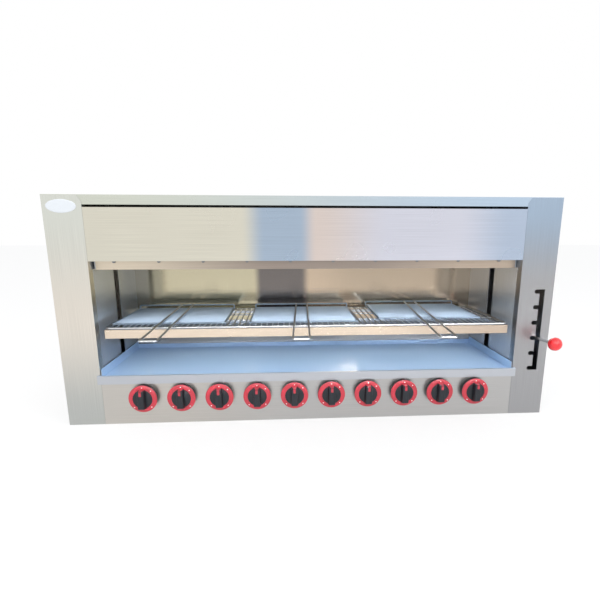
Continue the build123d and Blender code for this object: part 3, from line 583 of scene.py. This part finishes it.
def dot_tree():
    """Low domes at four of eight places round a circle: top, then 45, 135 and 225 degrees on."""
    tree, given, out = new_tree(
        "setting_dots",
        [("Circle radius", "NodeSocketFloat", 28.8 * MM), ("Dot radius", "NodeSocketFloat", 1.5 * MM)],
    )
    given = given.outputs
    circle = add_node(tree, "GeometryNodeMeshCircle", {"Vertices": 8, "Radius": given["Circle radius"]})
    place = add_node(tree, "GeometryNodeInputIndex").outputs[0]
    chosen = False
    for index in (0, 1, 3, 5):
        same = add_node(tree, "FunctionNodeCompare", {2: place, 3: index}, data_type="INT", operation="EQUAL")
        either = add_node(tree, "FunctionNodeBooleanMath", {0: chosen, 1: same.outputs[0]}, operation="OR")
        chosen = either.outputs[0]
    dome = add_node(
        tree, "GeometryNodeMeshUVSphere", {"Segments": 12, "Rings": 6, "Radius": given["Dot radius"]}
    )
    low = add_node(tree, "GeometryNodeTransform", {"Geometry": dome.outputs[0], "Scale": (1, 1, 0.35)})
    placed = add_node(
        tree, "GeometryNodeInstanceOnPoints",
        {"Points": circle.outputs[0], "Selection": chosen, "Instance": low.outputs[0]},
    )
    set_out(tree, placed.outputs[0], "white", out)
    return tree


def screw_tree():
    """Pan heads in a straight row."""
    tree, given, out = new_tree(
        "screw_row",
        [
            ("Count", "NodeSocketInt", 7),
            ("Start", "NodeSocketVector", (0, 0, 0)),
            ("Step", "NodeSocketVector", (0, 0, 0)),
            ("Facing", "NodeSocketVector", (0, 0, 0)),
            ("Head diameter", "NodeSocketFloat", 8 * MM),
        ],
    )
    given = given.outputs
    row = add_node(
        tree, "GeometryNodeMeshLine",
        {"Count": given["Count"], "Start Location": given["Start"], "Offset": given["Step"]},
    )
    radius = add_node(tree, "ShaderNodeMath", {0: given["Head diameter"], 1: 0.5}, operation="MULTIPLY")
    dome = add_node(
        tree, "GeometryNodeMeshUVSphere", {"Segments": 16, "Rings": 8, "Radius": radius.outputs[0]}
    )
    low = add_node(tree, "GeometryNodeTransform", {"Geometry": dome.outputs[0], "Scale": (1, 1, 0.42)})
    placed = add_node(
        tree, "GeometryNodeInstanceOnPoints",
        {"Points": row.outputs[0], "Instance": low.outputs[0], "Rotation": given["Facing"]},
    )
    set_out(tree, placed.outputs[0], "zinc", out)
    return tree


def from_tree(tree, values):
    """Runs a tree once with the given inputs and returns the plain mesh."""
    holder = bpy.data.objects.new("holder", bpy.data.meshes.new("holder"))
    bpy.context.scene.collection.objects.link(holder)
    modifier = holder.modifiers.new("nodes", "NODES")
    modifier.node_group = tree
    for socket in tree.interface.items_tree:
        if socket.in_out == "INPUT" and socket.name in values:
            modifier[socket.identifier] = values[socket.name]
    depsgraph = bpy.context.evaluated_depsgraph_get()
    mesh = bpy.data.meshes.new_from_object(holder.evaluated_get(depsgraph))
    holder.modifiers.clear()
    bpy.data.objects.remove(holder)
    return mesh


# ------------------------------------------------------------------ stage
# the camera of the photograph, from a fit to the casing's edges, in metres and radians
CAMERA_PLACE = (-0.0572, -1.3018, 0.4743)
CAMERA_TURNS = (("Z", -0.0712), ("X", -0.2288), ("Y", -0.0017), ("X", math.pi / 2))
CAMERA_SHIFT = (-0.0355, 0.0594)
CAMERA_LENS, CAMERA_SENSOR = 27.74, 36.0


def whitened(tree, lit, white, share, out):
    """Shows white to the camera, to mirrors and to glass, and leaves what lights the object as it is."""
    rays = add_node(tree, "ShaderNodeLightPath").outputs
    seen = rays["Is Camera Ray"]
    for kind in ("Is Glossy Ray", "Is Transmission Ray"):
        seen = add_node(tree, "ShaderNodeMath", {0: seen, 1: rays[kind]}, operation="MAXIMUM").outputs[0]
    part = add_node(tree, "ShaderNodeMath", {0: seen, 1: share}, operation="MULTIPLY").outputs[0]
    mixed = add_node(tree, "ShaderNodeMixShader", {0: part, 1: lit.outputs[0], 2: white.outputs[0]})
    tree.links.new(mixed.outputs[0], out.inputs["Surface"])


def add_floor(scene, sizes):
    """A wide white floor just under the object, which keeps the object's shadow."""
    reach, gap = sizes.floor_reach, 0.5 * MM
    corners = [(-reach, -reach, 0), (reach, -reach, 0), (reach, reach, 0), (-reach, reach, 0)]
    mesh = bpy.data.meshes.new("floor")
    mesh.from_pydata(corners, [], [(0, 1, 2, 3)])
    floor = bpy.data.objects.new("floor", mesh)
    floor.location.z = -gap
    scene.collection.objects.link(floor)
    paint, tree, shader = new_material("matt_white_floor", (1.0, 1.0, 1.0), 0.0, 0.9)
    glow = add_node(tree, "ShaderNodeEmission", {"Color": (1, 1, 1, 1), "Strength": 1.0})
    whitened(tree, shader, glow, sizes.floor_white, tree.nodes["Material Output"])
    mesh.materials.append(paint)


def add_sky(scene, sizes):
    """Even light from all round, which the camera sees as white."""
    world = bpy.data.worlds.new("studio")
    world.use_nodes = True
    scene.world = world
    tree = world.node_tree
    sky = tree.nodes["Background"]
    sky.inputs["Color"].default_value = (*sizes.sky_colour, 1.0)
    sky.inputs["Strength"].default_value = sizes.sky_strength
    white = add_node(tree, "ShaderNodeBackground", {"Color": (1, 1, 1, 1), "Strength": 1.0})
    whitened(tree, sky, white, 1.0, tree.nodes["World Output"])


def add_lamp(scene, name, power, place, aim, size, spread=math.pi):
    """A rectangular lamp at place that faces aim, in metres; spread is in radians."""
    data = bpy.data.lights.new(name, "AREA")
    data.shape, data.energy, data.spread = "RECTANGLE", power, spread
    data.size, data.size_y = size
    lamp = bpy.data.objects.new(name, data)
    lamp.location = place
    lamp.rotation_mode = "QUATERNION"
    lamp.rotation_quaternion = (Vector(aim) - Vector(place)).to_track_quat("-Z", "Y")
    scene.collection.objects.link(lamp)


def add_camera(scene):
    """The camera of the photograph."""
    lens = bpy.data.cameras.new("camera")
    lens.sensor_width, lens.lens = CAMERA_SENSOR, CAMERA_LENS
    lens.shift_x, lens.shift_y = CAMERA_SHIFT
    camera = bpy.data.objects.new("camera", lens)
    turn = Matrix.Identity(4)
    for axis, angle in CAMERA_TURNS:
        turn = turn @ Matrix.Rotation(angle, 4, axis)
    camera.matrix_world = Matrix.Translation(CAMERA_PLACE) @ turn
    scene.collection.objects.link(camera)
    scene.camera = camera


class MELTER_OT_stage(bpy.types.Operator):
    """White floor, soft studio light and the camera of the photograph"""

    bl_idname = "melter.stage"
    bl_label = "Stage"

    def execute(self, context):
        scene = context.scene
        sizes = scene.melter_stage
        add_floor(scene, sizes)
        add_sky(scene, sizes)
        middle = (0, 0, 0.3)
        add_lamp(scene, "key_softbox", sizes.key_power, (-0.9, -2.4, 2.6), middle, (2.4, 2.4))
        add_lamp(scene, "fill_softbox", sizes.fill_power, (1.7, -2.2, 2.3), middle, (2.2, 2.2))
        tray = (0.12, -0.05, 0.13)
        add_lamp(scene, "chamber_strip", sizes.strip_power, (0.35, -1.5, 0.8), tray, (1.2, 0.12), spread=0.28)
        add_camera(scene)
        scene.view_settings.view_transform = "Standard"
        return {"FINISHED"}


# ------------------------------------------------------------------ the pieces
class MELTER_OT_finishes(bpy.types.Operator):
    """Sheet, wire, tube, ceramic and plastic finishes on the pieces as built"""

    bl_idname = "melter.finishes"
    bl_label = "Finishes"

    def execute(self, context):
        scene = context.scene
        MATERIALS.update(casing_materials(scene.melter_casing))
        MATERIALS.update(chamber_materials(scene.melter_chamber))
        MATERIALS.update(dial_materials(scene.melter_dials))
        for name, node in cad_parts.items():
            if not node.material_slots:
                node.data.materials.append(None)
            for slot in node.material_slots:
                slot.material = MATERIALS[finish_of(name)]
        return {"FINISHED"}


def dial_body_mesh(sizes, centre):
    """Skirt, hub, raised bar and spindle. centre is on the ring's seat, and the dial faces -Y."""
    skirt, depth = sizes.skirt_radius, sizes.skirt_depth
    hub = sizes.ring_inner - 0.2 * MM
    chamfer, crown = 1.2 * MM, sizes.hub_rise + 0.8 * MM
    back, shoulder = skirt * 0.97, depth * 0.6  # the skirt narrows a little towards the control panel
    body = turned(
        [(0, -depth), (back, -depth), (skirt, -shoulder), (skirt, 0),
         (hub, 0), (hub, sizes.hub_rise), (hub - chamfer, crown), (0, crown)],
        centre,
    )
    foot_flare, overhang, rounding = 1.6 * MM, 1.0 * MM, 1.6 * MM
    half, top = sizes.grip_width / 2, sizes.grip_top
    sunk = sizes.hub_rise * 0.8  # the bar starts inside the hub
    bar_foot = (sunk, half + foot_flare, -(sizes.ring_inner + overhang), top)
    bar_front = (sizes.hub_rise + sizes.grip_rise, half, -sizes.grip_foot, top)
    bar = lofted(centre, [bar_foot, bar_front], rounding)
    radius, end = sizes.spindle_radius, depth + sizes.spindle_length
    spindle = turned([(0, -end), (radius, -end), (radius, -depth), (0, -depth)], centre, steps=24)
    return joined([body, bar, spindle])


def dial_ring_mesh(sizes, centre):
    """The red ring, whose face slopes up to its inner edge."""
    outer, inner = sizes.ring_outer, sizes.ring_inner
    return turned(
        [(outer, 0), (outer, 1.2 * MM), (outer - 0.9 * MM, 2.3 * MM), (outer - 3 * MM, 3.2 * MM),
         (outer - 6 * MM, 3.9 * MM), (inner + 1.5 * MM, 4.3 * MM), (inner, 4.0 * MM), (inner, 0)],
        centre,
    )


def dial_pointer_mesh(sizes, centre):
    """The red pointer: an arrow up the bar's end, then a tick on the bar's front."""
    front, top = sizes.hub_rise + sizes.grip_rise, sizes.grip_top
    proud, rounding = 0.5 * MM, 0.3 * MM
    arrow_levels = (top - 2 * MM, top + proud)
    tick_levels = (top - sizes.tick_length, top + 0.4 * MM)
    arrow_half, tick_half = sizes.arrow_width / 2, sizes.tick_width / 2
    arrow_foot = (sizes.hub_rise - 2 * MM, arrow_half, *arrow_levels)
    arrow = lofted(centre, [arrow_foot, (front + proud, tick_half, *arrow_levels)], rounding)
    tick_foot = (front - 1 * MM, tick_half, *tick_levels)
    tick = lofted(centre, [tick_foot, (front + proud, tick_half, *tick_levels)], rounding)
    return joined([arrow, tick])


def dial_dots_mesh(sizes, centre, tree):
    """The white setting dots, on the ring's face."""
    middle = (sizes.ring_outer + sizes.ring_inner) / 2
    mesh = from_tree(tree, {"Circle radius": middle, "Dot radius": sizes.dot_radius})
    # the tree's circle starts on its X axis, which is turned to the dial's top
    upright = Matrix(((0, 1, 0, 0), (0, 0, -1, 0), (1, 0, 0, 0), (0, 0, 0, 1)))
    face = 3.7 * MM
    mesh.transform(Matrix.Translation(centre + Vector((0, -face, 0))) @ upright)
    return mesh


class MELTER_OT_dials(bpy.types.Operator):
    """Moulded dials with a red ring, raised grip, pointer and white setting dots"""

    bl_idname = "melter.dials"
    bl_label = "Dials"

    def execute(self, context):
        sizes = context.scene.melter_dials
        dots = dot_tree()
        for number in range(1, DIAL_COUNT + 1):
            body = f"dial_{number}"
            low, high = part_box(f"knob_ring_{number}")
            centre = Vector(((low[0] + high[0]) / 2, high[1], (low[2] + high[2]) / 2))

            knob = finished(f"dial_body_{number}", dial_body_mesh(sizes, centre), "knob", body)
            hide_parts(f"knob_{number}")

            ring = finished(f"dial_ring_{number}", dial_ring_mesh(sizes, centre), "ring", body)
            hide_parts(f"knob_ring_{number}")

            pointer = finished(f"dial_pointer_{number}", dial_pointer_mesh(sizes, centre), "ring", body)

            finished(f"dial_dots_{number}", dial_dots_mesh(sizes, centre, dots), "white", body)
        return {"FINISHED"}


class MELTER_OT_deflector(bpy.types.Operator):
    """A folded strip that closes the gap between the rear wall and the back of the drip tray"""

    bl_idname = "melter.deflector"
    bl_label = "Deflector"

    def execute(self, context):
        sizes = context.scene.melter_chamber
        tray_back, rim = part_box("drip_tray")[1][1:]
        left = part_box("left_inner_wall")[1][0] + 1 * MM
        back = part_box("rear_inner_wall")[0][1] - 0.3 * MM
        foot = tray_back + 4 * MM
        line = [
            (back, sizes.strip_top), (back, sizes.strip_fold), (foot, rim - 6 * MM), (foot, rim - 12 * MM)
        ]
        corners = [(x, y, z) for x in (left, -left) for y, z in line]
        folds = len(line)
        mesh = bpy.data.meshes.new("strip")
        mesh.from_pydata(corners, [], [(i, i + 1, i + folds + 1, i + folds) for i in range(folds - 1)])
        strip = bpy.data.objects.new("strip", mesh)
        context.scene.collection.objects.link(strip)
        solid = strip.modifiers.new("sheet", "SOLIDIFY")
        solid.thickness, solid.offset = sizes.strip_sheet, 0.0
        sheet = bpy.data.meshes.new_from_object(strip.evaluated_get(context.evaluated_depsgraph_get()))
        bpy.data.objects.remove(strip)
        finished("drip_deflector", sheet, "inner", "casing")
        return {"FINISHED"}


class MELTER_OT_badge(bpy.types.Operator):
    """A bare oval badge on the left stile"""

    bl_idname = "melter.badge"
    bl_label = "Badge"

    def execute(self, context):
        sizes = context.scene.melter_casing
        outer_edge, front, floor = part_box("left_side_casing")[0]
        # a dome as shares of the badge's half width and of its thickness, on a back just inside the stile
        dome = [(1.0, 0.4), (0.97, 0.75), (0.9, 0.92), (0.6, 1.0), (0, 1.04)]
        radius, rise, sunk = sizes.badge_width / 2, sizes.badge_thickness, 0.1 * MM
        profile = [(0, -sunk), (radius, -sunk)] + [(part * radius, height * rise) for part, height in dome]
        mesh = turned(profile, Vector((0, 0, 0)), steps=96)
        squeeze = sizes.badge_height / sizes.badge_width
        place = Vector((outer_edge + sizes.badge_inset, front, floor + sizes.badge_level))
        mesh.transform(Matrix.Translation(place) @ Matrix.Diagonal((1, 1, squeeze, 1)))
        finished("blank_badge", mesh, "badge", "casing")
        return {"FINISHED"}


class MELTER_OT_screws(bpy.types.Operator):
    """Pan-head screws along the top and foot of the back cover"""

    bl_idname = "melter.screws"
    bl_label = "Screws"

    def execute(self, context):
        sizes = context.scene.melter_casing
        tree = screw_tree()
        back_low, back_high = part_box("back_cover")
        count, inset = sizes.back_screws, sizes.screw_inset
        step = (back_high[0] - back_low[0] - 2 * inset) / (count - 1)
        row = {
            "Count": count, "Step": (step, 0, 0), "Facing": (-math.pi / 2, 0, 0),
            "Head diameter": sizes.screw_diameter,
        }
        rows = [
            from_tree(tree, {**row, "Start": (back_low[0] + inset, back_high[1], level)})
            for level in (sizes.foot_screws, sizes.top_screws)
        ]
        screws = finished("casing_screws", joined(rows), "zinc", "casing")
        return {"FINISHED"}


class MELTER_PT_panel(bpy.types.Panel):
    """The operators and settings, in the sidebar"""

    bl_label = "Cheese Melter"
    bl_idname = "MELTER_PT_panel"
    bl_space_type = "VIEW_3D"
    bl_region_type = "UI"
    bl_category = "Cheese Melter"

    def draw(self, context):
        for operator in OPERATORS:
            self.layout.operator(operator.bl_idname)
        for prop, kind in SETTINGS.items():
            for name in kind.__annotations__:
                self.layout.prop(getattr(context.scene, prop), name)


SETTINGS = {
    "melter_stage": StageSettings,
    "melter_dials": DialSettings,
    "melter_casing": CasingSettings,
    "melter_chamber": ChamberSettings,
}
OPERATORS = (
    MELTER_OT_stage, MELTER_OT_finishes, MELTER_OT_dials,
    MELTER_OT_deflector, MELTER_OT_badge, MELTER_OT_screws,
)
CLASSES = (*SETTINGS.values(), *OPERATORS, MELTER_PT_panel)


def register():
    for cls in CLASSES:
        bpy.utils.register_class(cls)
    for prop, kind in SETTINGS.items():
        setattr(bpy.types.Scene, prop, PointerProperty(type=kind))


def unregister():
    for prop in SETTINGS:
        delattr(bpy.types.Scene, prop)
    for cls in reversed(CLASSES):
        bpy.utils.unregister_class(cls)


def main():
    """Dresses the part from end to end."""
    register()
    bpy.ops.melter.stage()
    bpy.ops.melter.finishes()
    bpy.ops.melter.dials()
    bpy.ops.melter.deflector()
    bpy.ops.melter.badge()
    bpy.ops.melter.screws()


if __name__ == "__main__":
    main()
